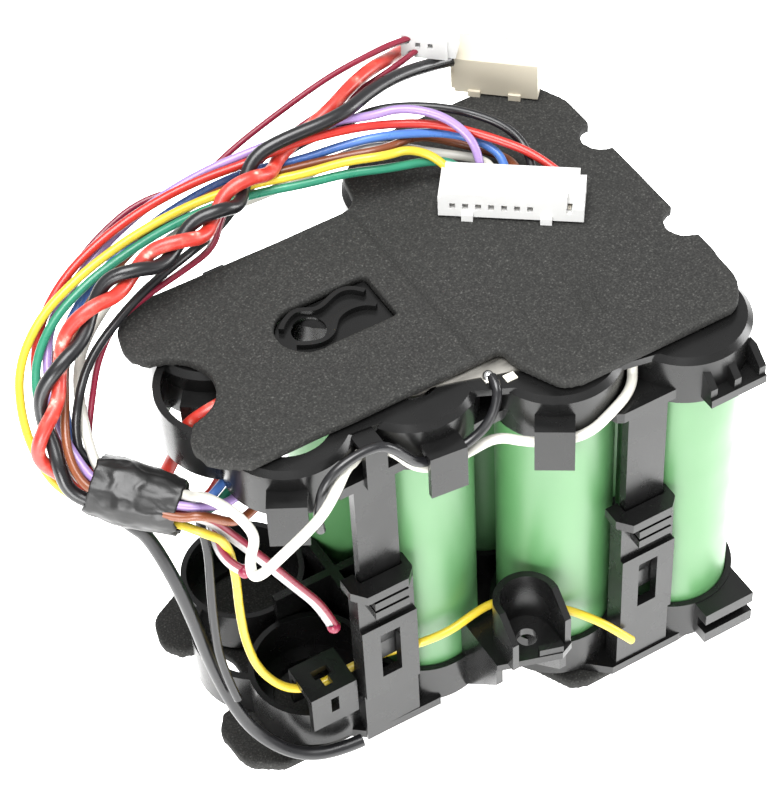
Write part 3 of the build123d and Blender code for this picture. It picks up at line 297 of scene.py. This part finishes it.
# What the CAD nodes wear, by the start of their names
NODE_MATERIALS = {
    "cell_can": STEEL,
    "cell_sleeve": SLEEVE_FILM,
    "insulator_rings": PAPER,
    "insulating_paper": PAPER,
    "nickel": NICKEL,
    "tab_solder": SOLDER,
    "lower_holder": PLASTIC,
    "upper_holder": PLASTIC,
    "screw_tower": PLASTIC,
    "sense_connector": NYLON_WHITE,
    "thermistor_connector": NYLON_WHITE,
    "power_connector": NYLON_CREAM,
    "sense_contacts": TIN,
    "thermistor_bead": BEAD,
    "top_foam": FOAM_SKIN,
    "bottom_foam": FOAM_SKIN,
    "tape_wrap": TAPE_FILM,
}


def dress_nodes():
    for name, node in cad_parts.items():
        for start, material in NODE_MATERIALS.items():
            if name.startswith(start):
                node.data.materials.clear()
                node.data.materials.append(material)


dress_nodes()

# Wires -----------------------------------------------------------------------

# Diameter in millimetres, insulation, and the control points from the plug, or for the jumper from
# the soldered tab, to the far end
ROUTES = {
    "wire_sense_yellow": (1.4, "yellow", [
        (4.3, 34.9, 75), (3.7, 38.3, 76.7), (-0.1, 41.2, 78.6), (-5.1, 39.9, 80.5),
        (-10.6, 42.4, 80.3), (-17.8, 43.6, 80.2), (-24.8, 45.9, 80.1), (-32.3, 47.1, 80.1),
        (-40.6, 46.9, 79.9), (-48.7, 45.9, 79.2), (-56.4, 44.4, 77.8), (-63.7, 42.7, 75.1),
        (-69.4, 39.4, 70.7), (-72, 34.4, 65.7), (-72.5, 29.3, 61.4), (-71.3, 25, 58),
        (-68.2, 21.3, 56.7), (-63, 16.4, 56.2), (-58.7, 11.3, 55.9), (-56.1, 7.9, 55.4),
        (-53.2, 7.3, 52.4), (-52.8, 6.3, 45.7), (-53.2, 5.9, 37.4), (-53, 5.6, 29),
        (-51.6, 4.8, 21.4), (-48.2, 2.8, 16.4), (-43.5, 1.6, 15.4), (-38.6, 1.4, 16.2),
        (-34.2, 0.6, 17.4), (-30.4, -1, 18.6), (-26.6, -3.4, 20.6), (-22.2, -4.6, 21.9),
        (-18, -4.1, 22.4), (-14.2, -3.6, 22.2), (-10.6, -4.2, 21.6), (-7.6, -6.6, 21),
        (-4.6, -9.1, 20.4), (-1.6, -11.4, 19), (1.4, -13.5, 16.6), (3.6, -15.1, 14.2),
        (5.2, -15.4, 12)]),
    "wire_sense_green": (1.4, "green", [
        (5.9, 33.7, 75), (6.2, 37.3, 75.1), (3.2, 39.8, 75.6), (-4.7, 39.8, 77.8),
        (-10.5, 41.9, 78.2), (-17.7, 42.9, 78.7), (-24.7, 44.8, 79), (-32.1, 45.9, 79.1),
        (-40.3, 45.7, 79), (-48.1, 44.7, 78.3), (-55.6, 43.4, 77), (-62.4, 41.7, 74.2),
        (-67.2, 38.8, 69.9), (-69.2, 34.2, 65.5), (-69.2, 29.5, 62.2), (-67.8, 25.7, 60),
        (-66.4, 22.6, 59.2), (-61.9, 17.5, 58), (-57.6, 12.6, 57.4), (-54.3, 9.1, 57.9),
        (-49, 11.2, 59.1), (-43.9, 14, 59.5), (-39.1, 18, 59.6), (-36.9, 20.4, 61.2),
        (-36.2, 20.4, 64.8), (-36.2, 20.4, 68.7)]),
    "wire_sense_red": (1.4, "red", [
        (18.7, 24.1, 75), (17, 30, 76.9), (12, 36.1, 78.7), (5, 42.1, 80.8), (-3.1, 45.7, 81.6),
        (-10, 45.3, 84), (-17.5, 46.6, 84.2), (-24.8, 47.9, 82.8), (-32.5, 49.1, 82.3),
        (-41.1, 49.1, 81.5), (-49.4, 48.3, 79.8), (-57, 46.7, 77.3), (-63.2, 43.9, 73.3),
        (-67, 40, 68.5), (-68, 34.9, 64.2), (-67.6, 29.8, 61.8), (-66.4, 25.8, 60.7),
        (-65.6, 23.7, 60.1), (-60.7, 19, 58.4), (-56.4, 14.6, 56.6), (-53.3, 12.9, 56.2),
        (-49, 15.6, 57), (-45, 18.6, 58.4), (-43.4, 20.3, 61.6), (-43.1, 20.4, 65),
        (-43.1, 20.4, 68.7)]),
    "wire_sense_purple": (1.4, "purple", [
        (7.5, 32.5, 75), (8.9, 35.3, 77.9), (7.7, 38.4, 81.1), (4.9, 41.8, 83.1), (0.4, 45, 83.9),
        (-4.1, 46.3, 83.3), (-9.3, 47, 84.6), (-17.1, 48.1, 84.3), (-24.4, 49.2, 83.5),
        (-32.1, 50.7, 81.9), (-40.7, 50.3, 80.4), (-48.6, 48.7, 78.4), (-55.6, 46.4, 75.8),
        (-61.7, 43.4, 73), (-65.3, 38.9, 69.1), (-67.2, 33.2, 66.6), (-68.2, 27.6, 65),
        (-67.9, 23.2, 63.4), (-67.4, 19.9, 62.5), (-62.8, 14.9, 61.4), (-58.2, 10.5, 60.3),
        (-55.3, 8.5, 60.4), (-51.5, 8.5, 58.7), (-46.5, 10.4, 58.8), (-41.5, 10.2, 58.6),
        (-36, 9, 58.6), (-30.4, 8.2, 58.6)]),
    "wire_sense_white": (1.6, "white", [
        (9.1, 31.3, 75), (10.9, 34.7, 74.4), (9.8, 38.3, 73.9), (5.7, 41.6, 74.2),
        (1.2, 43.7, 75.9), (-4.1, 43.5, 79.4), (-10, 46, 78.2), (-17.5, 45.9, 77.1),
        (-24.6, 46.8, 76.3), (-32.1, 47.7, 75.9), (-40.3, 46.6, 75.6), (-47.6, 44.2, 74.6),
        (-54.1, 41.1, 73.1), (-59.3, 37.9, 71.2), (-62.4, 34.3, 68.7), (-64, 30.2, 66.2),
        (-65.3, 25.8, 64.1), (-66.1, 20.4, 61.9), (-61.1, 16, 61.2), (-56.5, 12, 60.2),
        (-55.7, 6.3, 65.2), (-54.1, 2.3, 65.4), (-53.3, -0.8, 65.2), (-52.3, -1.9, 62.1),
        (-54.4, -3.2, 59.6), (-55.7, -7.2, 59.8), (-50.9, -8.4, 64.5), (-46.2, -7.8, 66.4),
        (-43.4, -6.7, 66.9), (-40.3, -5, 68.2), (-37.5, -2.9, 69.2), (-35.2, -1.2, 67.6),
        (-33.2, 0.2, 67.5), (-31.3, 0.1, 67.3), (-29, -2, 66.6), (-26.7, -3.7, 63.3),
        (-22.6, -4.4, 61.6), (-17.6, -4.2, 61.8), (-13.1, -4.4, 62.6), (-10, -7.5, 62.4),
        (-6.1, -9.8, 62.1), (-1.2, -11.4, 62.6), (3.4, -11, 65), (6.2, -9.8, 65),
        (8.2, -8.4, 65.4), (9.3, -6.8, 66.4), (9.3, -6.8, 68.7)]),
    "wire_sense_blue": (1.4, "blue", [
        (10.7, 30.1, 75), (12.6, 33.6, 75.7), (11.2, 37.7, 77), (6.5, 41.7, 78.5),
        (-3.6, 43.5, 81.3), (-9.7, 45.8, 80.4), (-17.2, 47.2, 79.7), (-24.4, 49.1, 80),
        (-32.2, 49.9, 78.9), (-40.6, 49, 78), (-48.2, 47.1, 76.3), (-55, 44.8, 74.1),
        (-60.4, 41.8, 71.4), (-63.8, 37.9, 68.1), (-65.5, 33, 65.5), (-67.1, 28.7, 63.3),
        (-68, 25.2, 61.5), (-67.4, 22.4, 60.6), (-62.4, 17.5, 59.6), (-57.6, 12.9, 58.9),
        (-54.4, 10.2, 59.2), (-52, 10.9, 59.9), (-47.6, 13.6, 60), (-43.5, 17.2, 59.9),
        (-40, 19.6, 60), (-38.1, 20.4, 62.4), (-37.9, 20.4, 65.4), (-37.9, 20.4, 68.7)]),
    "wire_sense_brown": (1.4, "brown", [
        (12.3, 28.9, 75), (14.3, 32.5, 74.3), (13.2, 37, 74.1), (7.6, 42.4, 75.5), (2.5, 43.9, 78),
        (-4.2, 41.7, 80), (-10.1, 44, 79.8), (-17.3, 45.7, 79.9), (-24.4, 47.4, 79.7),
        (-32.1, 48.3, 79.2), (-40.3, 47.5, 78.4), (-47.9, 45.5, 76.9), (-54.5, 42.4, 75.3),
        (-60, 39.2, 73.2), (-63.6, 35.6, 70.7), (-65.9, 31.2, 68.4), (-68.4, 26.7, 66.5),
        (-69.4, 22.9, 64), (-68.7, 19.2, 61.8), (-63.8, 14.2, 60.5), (-59.4, 9.4, 59.4),
        (-56, 7.3, 60.3), (-51.5, 6.4, 56), (-46.4, 8, 56.7), (-41.4, 8.2, 56.6), (-36, 7.4, 56.6),
        (-30.4, 6.8, 56.6)]),
    "wire_sense_black": (1.4, "black", [
        (13.9, 27.7, 75), (16.5, 32, 75.8), (15.4, 37.1, 78.7), (10.2, 42.3, 80.7),
        (3.8, 46.4, 81.8), (-2.6, 49, 81.9), (-8.9, 47.4, 82.6), (-16.3, 49.9, 80.3),
        (-23.8, 49.7, 76.3), (-31.8, 46.3, 73.2), (-40.1, 41.4, 76), (-48.3, 38.8, 75.6),
        (-55.9, 35.4, 74.2), (-60.9, 32.9, 72.2), (-64.5, 29.3, 69.8), (-66.3, 27.6, 66.1),
        (-67.1, 25.3, 62.1), (-61.5, 20.1, 60.5), (-58.5, 17.3, 59.8), (-55.3, 14, 59),
        (-55.6, 10.4, 54.6), (-55.6, 8.9, 50), (-56.6, 7.6, 43.7), (-57.4, 6.5, 35.8),
        (-57.8, 5.1, 27.4), (-56.6, 3, 20)]),
    "wire_power_black": (2.2, "black", [
        (16.7, 55.9, 78.3), (11.5, 54.9, 80.2), (4.4, 52.7, 82.9), (-2.2, 49.6, 85),
        (-9.4, 45.6, 86.5), (-20.2, 46.7, 85.7), (-24.6, 46.7, 84.4), (-27.5, 44.6, 81.6),
        (-29.9, 41, 81.8), (-33.5, 40, 83.8), (-38.1, 41, 83), (-41.6, 39.5, 80.6),
        (-45.4, 36.9, 80.7), (-49.8, 37.1, 82.4), (-54, 38.6, 81.4), (-57.4, 37, 78.1),
        (-60.7, 33, 77.1), (-65.9, 31, 76.4), (-69.6, 31.1, 72.5), (-70.3, 29.6, 68.1),
        (-70.3, 26.8, 66), (-71.1, 23.8, 64), (-71, 21.5, 60.4), (-67.4, 18, 58.9),
        (-64.6, 14.9, 55.7), (-62.7, 14, 52.7), (-61.2, 11, 46.1), (-59.9, 8.9, 37.5),
        (-58.6, 7.1, 26), (-57, 5, 17), (-54.5, 2.5, 9.5), (-50, -1, 4.8), (-44.5, -3.4, 3.6),
        (-39, -3.8, 3.6)]),
    "wire_power_red": (2.2, "scuffed_red", [
        (19.5, 58.9, 77.2), (16.4, 61.8, 77.4), (11.6, 61.8, 78.8), (6.6, 58.5, 81.4),
        (1.7, 55.5, 83.9), (-3.8, 52.8, 84.6), (-9.2, 49.9, 84.4), (-19.5, 48, 81.5),
        (-22.6, 44.3, 82.1), (-26.6, 43.2, 84.4), (-30.9, 43.5, 83.5), (-33.9, 41.8, 81.1),
        (-37.2, 38.4, 81.3), (-41.2, 37.9, 83.2), (-45.6, 39.5, 82.5), (-49.4, 38.9, 79.8),
        (-53.1, 36, 79.7), (-57.9, 35.2, 80.8), (-62.7, 35.2, 78.2), (-65.2, 32.9, 74),
        (-67.5, 29, 71.3), (-71.7, 26.9, 69), (-73.4, 26.6, 64.8), (-70.8, 25.1, 61.1),
        (-66.4, 23.6, 55.5), (-61.2, 21.1, 55.2), (-57.1, 21, 54), (-54, 21.9, 57.3),
        (-52.6, 20.9, 61.7), (-52.2, 19.2, 66.2), (-49.2, 17.8, 69), (-44.1, 18.2, 69)]),
    "wire_thermistor_1": (1.4, "twin", [
        (12, 58, 84), (7, 57.8, 84.8), (1.9, 57.1, 85.1), (-5.5, 56.6, 84.6), (-15, 55.1, 83.2),
        (-25, 53.2, 81.5), (-33, 50.4, 80), (-41.1, 52.7, 79.7), (-49.4, 51.2, 77.6),
        (-56.4, 48.6, 74.8), (-61.8, 44.5, 71.3), (-64.5, 39.4, 67.3), (-66.7, 34.2, 65.1),
        (-68.7, 28.9, 63.8), (-69.3, 24.5, 62.1), (-68.3, 20.7, 60.9), (-63.2, 15.5, 59.7),
        (-58.5, 10.9, 58.7), (-55.3, 8.3, 57.8), (-52.9, 8.8, 53.5), (-48.7, 4.9, 47.5),
        (-44.8, 2.6, 40.7), (-41.5, 1.4, 35), (-40.2, 0.4, 30)]),
    "wire_thermistor_2": (1.4, "twin", [
        (11.5, 57.4, 82), (6.6, 56, 81.6), (-2.3, 54.8, 80.8), (-11.9, 53.9, 80),
        (-19.9, 51.8, 78.9), (-27, 48.5, 78.1), (-31.9, 44.6, 77.1), (-34.9, 41.5, 75.3),
        (-39.8, 40.6, 74.5), (-47.5, 39.2, 74.1), (-54.1, 37.5, 73.2), (-58.8, 34.4, 70.5),
        (-61.9, 31.1, 66.6), (-64.2, 29, 62), (-66.4, 24.7, 58), (-63.2, 19.7, 57),
        (-59.8, 16.5, 56), (-56.6, 13.7, 55.4), (-53.5, 11.4, 54.6), (-54.8, 6.5, 49.3),
        (-52.4, 3.6, 48.6)]),
    "wire_jumper": (1.5, "black", [
        (-11.4, -0.45, 71), (-11.6, -2.5, 70.9), (-12.8, -3.9, 68.6), (-14.8, -4.6, 66.3),
        (-17.8, -4.7, 64.6), (-21.4, -4.6, 64), (-24.7, -4.4, 64.1), (-26.9, -4.4, 65.2),
        (-28.4, -4.1, 67.2), (-29.7, -3.9, 69.1), (-31.7, -3.4, 71), (-34.3, -3.2, 71.3),
        (-37, -3.3, 71.1), (-39.6, -3.5, 70.4), (-41.8, -3.8, 68.6), (-42.8, -3.9, 65.4),
        (-43.1, -3.7, 62.1), (-42.7, -3.5, 59.2)]),
}

SPLINE_STEPS = 10
SPLINE_ORDER = 3
ROUND_STEPS = 5


def smooth_line(name, points, radius):
    """One open NURBS spline with the route's points as its control points."""
    data = bpy.data.curves.new(name, "CURVE")
    data.dimensions = "3D"
    data.resolution_u = SPLINE_STEPS
    data.bevel_depth = radius
    data.bevel_resolution = ROUND_STEPS
    data.use_fill_caps = True
    spline = data.splines.new("NURBS")
    spline.points.add(len(points) - 1)
    for control, point in zip(spline.points, points):
        control.co = (*point, 1.0)
    spline.order_u = SPLINE_ORDER
    spline.use_endpoint_u = True
    return data


def make_round_cord(name, points, radius, material):
    data = smooth_line(name + "_cord", points, radius)
    data.materials.append(material)
    return add_object(name + "_cord", data)


def grid_faces(rings, around):
    """Quads between neighbouring rings of points, ring after ring."""
    faces = []
    for ring in range(rings - 1):
        low = ring * around
        for k in range(around):
            following = (k + 1) % around
            faces.append([low + k, low + following, low + around + following, low + around + k])
    return faces


def smooth_faces(mesh):
    """Smooth shading all over the mesh."""
    for polygon in mesh.polygons:
        polygon.use_smooth = True


# The twin lead's section in millimetres: two lobes, each an arc from the waist round to the waist
TWIN_HALF_GAP = 0.55
TWIN_LOBE = 0.5
LOBE_POINTS = 9
LOBE_START = -120
LOBE_STEP = 30


def twin_section():
    """Outline of two joined round leads, as places across and over the flat, in millimetres."""
    outline = []
    for step in range(LOBE_POINTS):
        angle = math.radians(LOBE_START + LOBE_STEP * step)
        outline.append((TWIN_HALF_GAP + TWIN_LOBE * math.cos(angle), TWIN_LOBE * math.sin(angle)))
    return outline + [(-x, -y) for x, y in outline]


def make_twin_lead(name, points):
    """Flat twin lead along the route's spline, with one dark red side."""
    line = add_object(name + "_line", smooth_line(name + "_line", points, 0.0))
    bare = bpy.data.meshes.new_from_object(line)
    path = [vertex.co.copy() for vertex in bare.vertices]
    bpy.data.objects.remove(line)
    section = twin_section()
    across = Vector((0, 0, 1))
    rings = []
    for index, point in enumerate(path):
        ahead = path[min(index + 1, len(path) - 1)] - path[max(index - 1, 0)]
        ahead.normalize()
        across = (across - ahead * across.dot(ahead)).normalized()
        over = ahead.cross(across)
        rings.append([point + (across * x + over * y) * MM for x, y in section])
    count = len(section)
    caps = [list(range(count))[::-1], [count * (len(rings) - 1) + k for k in range(count)]]
    mesh = bpy.data.meshes.new(name + "_cord")
    mesh.from_pydata([spot for ring in rings for spot in ring], [],
                     caps + grid_faces(len(rings), count))
    mesh.materials.append(INSULATION["clear"])
    mesh.materials.append(INSULATION["crimson"])
    for index, polygon in enumerate(mesh.polygons[len(caps):]):
        polygon.material_index = 1 if index % count < LOBE_POINTS - 1 else 0
    smooth_faces(mesh)
    return add_object(name + "_cord", mesh), path


def make_cords():
    for name, (diameter, insulation, route) in ROUTES.items():
        points = [place(*point) for point in route]
        if name != "wire_jumper":
            points.reverse()
        path = None
        if insulation == "twin":
            piece, path = make_twin_lead(name, points)
        else:
            piece = make_round_cord(name, points, diameter / 2 * MM, INSULATION[insulation])
        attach(piece, "root")
        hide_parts(name)


make_cords()

# Tape ------------------------------------------------------------------------

TAPE_START = place(-67.0, 21.5, 60.0)
TAPE_END = place(-57.6, 12.0, 58.0)
TAPE_RINGS = 46
TAPE_AROUND = 72

# Millimetres of radius: the plain wrap, then what each feature adds or takes away
TAPE_RADIUS = 4.5
TAPE_OVAL = 0.30
TAPE_CORNERS = 0.16
TAPE_SWELL = 0.35
TAPE_TAPER = 0.45
FOLD_HEIGHT = 0.30
RIDGE_HEIGHT = 0.20
LAP_STEP = 0.18
# How far the skin's first rings and, mirrored, its last ones are rolled in
ROLLED_IN = (0.55, 0.25)

# Radians: how far the oval turns from end to end, and where the corners and the loose edge start
OVAL_TWIST = 2.2
CORNER_PHASE = 1.0
LAP_PHASE = 0.8
# The loose edge of the tape: its mean place along the wrap, its slant and its sharpness
LAP_PLACE = 0.42
LAP_SLANT = 0.14
LAP_SHARPNESS = 40.0

# How fast the noises change across the wrap, along it and round it
FOLD_PITCH = (1.3, 2.2, 0.9)
RIDGE_PITCH = (2.4, 3.0, -0.6)
RIDGE_OFFSET = 7
RIDGE_SHARPNESS = 4
# The uneven ends: their noise's scale, the slice of it they read, and their depth in millimetres
RAGGED_PITCH = 2.6
RAGGED_SLICE = 4.0
RAGGED_DEPTH = 1.1


def tape_noise(t, angle, spot, pitch, offset=0):
    across, along, turn = pitch
    return noise.noise(Vector((spot.x * across + offset, spot.y * across,
                               t * along + turn * angle)))


def tape_radius(t, angle, spot, inset):
    """The wrap's radius in millimetres at a share t of its length, in the direction spot."""
    radius = (TAPE_RADIUS + TAPE_OVAL * math.cos(2 * angle + OVAL_TWIST * t)
              + TAPE_CORNERS * math.cos(3 * angle - CORNER_PHASE))
    radius += TAPE_SWELL * math.sin(math.pi * t) ** 2 - TAPE_TAPER * t * t
    fold = tape_noise(t, angle, spot, FOLD_PITCH)
    ridge = 1.0 - abs(tape_noise(t, angle, spot, RIDGE_PITCH, RIDGE_OFFSET)) * RIDGE_SHARPNESS
    past_edge = t - LAP_PLACE - LAP_SLANT * math.sin(angle + LAP_PHASE)
    lap = LAP_STEP / (1.0 + math.exp(-LAP_SHARPNESS * past_edge))
    return radius + (FOLD_HEIGHT * fold + RIDGE_HEIGHT * max(ridge, 0.0) - inset - lap)


def make_tape():
    """Wrinkled wrap round the bundle: an outer skin, rolled in at both ends."""
    axis = (TAPE_END - TAPE_START).normalized()
    side = axis.cross(Vector((0, 0, 1))).normalized()
    up = side.cross(axis)
    length = (TAPE_END - TAPE_START).length
    roll = len(ROLLED_IN)
    insets = [*ROLLED_IN, *[0.0] * TAPE_RINGS, *reversed(ROLLED_IN)]
    vertices = []
    for ring, inset in enumerate(insets):
        t = min(max((ring - roll) / (TAPE_RINGS - 1), 0.0), 1.0)
        for k in range(TAPE_AROUND):
            angle = 2 * math.pi * k / TAPE_AROUND
            spot = Vector((math.cos(angle), math.sin(angle), 0))
            radius = tape_radius(t, angle, spot, inset)
            ragged = RAGGED_DEPTH * noise.noise(
                Vector((spot.x * RAGGED_PITCH, spot.y * RAGGED_PITCH, RAGGED_SLICE)))
            along = t * length + MM * ragged * (1.0 - 2.0 * t)
            outward = (side * spot.x + up * spot.y) * radius * MM
            vertices.append(TAPE_START + axis * along + outward)
    mesh = bpy.data.meshes.new("tape_skin")
    mesh.from_pydata(vertices, [], grid_faces(len(insets), TAPE_AROUND))
    mesh.materials.append(TAPE_FILM)
    smooth_faces(mesh)
    piece = add_object("tape_skin", mesh)
    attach(piece, "root")
    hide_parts("tape_wrap")


make_tape()

# Foam pads -------------------------------------------------------------------

# Places of the top pad's crease and of two short cuts in it, in millimetres from the datum
CREASE_X = -11.5
CREASE_Y = (3.0, 40.0)
CREASE_DEPTH = 0.55
CREASE_WIDTH = 0.40
PAD_CUTS = [((8.6, 8.9), (7.3, 2.2)), ((11.2, 8.0), (9.6, 1.5))]
CUT_DEPTH = 0.5
CUT_WIDTH = 0.4

# Millimetres that a pad's surface strays up and down and sideways, each with its noise's scale in
# features per metre, and the step between two noises that should differ
RIPPLE = 0.07
RIPPLE_PITCH = 60
WANDER = 0.10
WANDER_PITCH = 130
OTHER_NOISE = Vector((5, 0, 0))

# The remesh's voxel in millimetres, and how much it is smoothed to round the rims
PAD_VOXEL = 0.45
RELAX_STEPS = 3
RELAX_SHARE = 0.5


def off_segment(point, start, end):
    """Distance in plan from a point to a short straight cut."""
    along = Vector(end) - Vector(start)
    off = point.xy - Vector(start)
    share = min(max(off.dot(along) / along.length_squared, 0.0), 1.0)
    return (off - along * share).length


def pad_shift(point, top):
    """How far a point of a pad moves: soft waves, and the crease and cuts of the top pad."""
    shift = Vector((WANDER * noise.noise(point * WANDER_PITCH),
                    WANDER * noise.noise(point * WANDER_PITCH + OTHER_NOISE),
                    RIPPLE * noise.noise(Vector((point.x, point.y, 0)) * RIPPLE_PITCH)))
    if top:
        local = (point - DATUM) / MM
        if CREASE_Y[0] < local.y < CREASE_Y[1]:
            shift.z -= CREASE_DEPTH * math.exp(-((local.x - CREASE_X) / CREASE_WIDTH) ** 2)
        for start, end in PAD_CUTS:
            shift.z -= CUT_DEPTH * math.exp(-(off_segment(local, start, end) / CUT_WIDTH) ** 2)
    return shift * MM


def make_pad(node_name, top):
    """A pad cut from the CAD pad's shape, with rounded rims and a slightly uneven face."""
    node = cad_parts[node_name]
    piece = add_object(node_name + "_soft", node.data.copy())
    piece.matrix_world = node.matrix_world
    remesh = piece.modifiers.new("remesh", "REMESH")
    remesh.mode = "VOXEL"
    remesh.voxel_size = PAD_VOXEL * MM
    relax = piece.modifiers.new("relax", "SMOOTH")
    relax.iterations = RELAX_STEPS
    relax.factor = RELAX_SHARE
    bpy.context.view_layer.update()
    evaluated = piece.evaluated_get(bpy.context.evaluated_depsgraph_get())
    mesh = bpy.data.meshes.new_from_object(evaluated)
    piece.modifiers.clear()
    piece.data = mesh
    low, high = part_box(node_name)
    for vertex in mesh.vertices:
        moved = vertex.co + pad_shift(vertex.co, top)
        vertex.co = [min(max(value, least), most) for value, least, most in zip(moved, low, high)]
    smooth_faces(mesh)
    mesh.materials.clear()
    mesh.materials.append(FOAM_SKIN)
    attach(piece, "root")
    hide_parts(node_name)


make_pad("top_foam_pad", True)
make_pad("bottom_foam_pad", False)

# Floor and light -------------------------------------------------------------

FLOOR_SIZE = 3.0
FLOOR_HEIGHT = -0.0002
# The photograph's table is far brighter than the object, so it shows in every glossy upright face
FLOOR_GLOW = 1.7
WORLD_GLOW = 0.75
# Name, place, point it looks at, width and power of each soft light
LIGHTS = [
    ("top_light", (-0.08, -0.08, 0.8), (0, 0, 0.03), 0.5, 13.0),
    ("front_light", (-0.55, -0.60, 0.22), (0, 0, 0.04), 0.4, 8.0),
    ("right_light", (0.75, -0.25, 0.22), (0, 0, 0.04), 0.3, 4.0),
]


def make_floor():
    bpy.ops.mesh.primitive_plane_add(size=FLOOR_SIZE, location=(0, 0, FLOOR_HEIGHT))
    floor = bpy.context.object
    floor.name = "floor"
    material = bpy.data.materials.new("floor")
    material.use_nodes = True
    shader = material.node_tree.nodes["Principled BSDF"]
    shader.inputs["Base Color"].default_value = (0.96, 0.96, 0.955, 1)
    shader.inputs["Roughness"].default_value = 0.9
    shader.inputs["Emission Color"].default_value = (1.0, 1.0, 0.99, 1)
    shader.inputs["Emission Strength"].default_value = FLOOR_GLOW
    floor.data.materials.append(material)


def make_area_light(name, position, target, size, power):
    data = bpy.data.lights.new(name, "AREA")
    data.shape = "SQUARE"
    data.size = size
    data.energy = power
    light = add_object(name, data)
    light.location = position
    direction = Vector(target) - Vector(position)
    light.rotation_euler = direction.to_track_quat("-Z", "Y").to_euler()


def make_world():
    world = bpy.data.worlds.new("world")
    world.use_nodes = True
    background = world.node_tree.nodes["Background"]
    background.inputs["Color"].default_value = (1, 1, 1, 1)
    background.inputs["Strength"].default_value = WORLD_GLOW
    bpy.context.scene.world = world


make_floor()
for light_settings in LIGHTS:
    make_area_light(*light_settings)
make_world()
bpy.context.scene.view_settings.view_transform = "Standard"
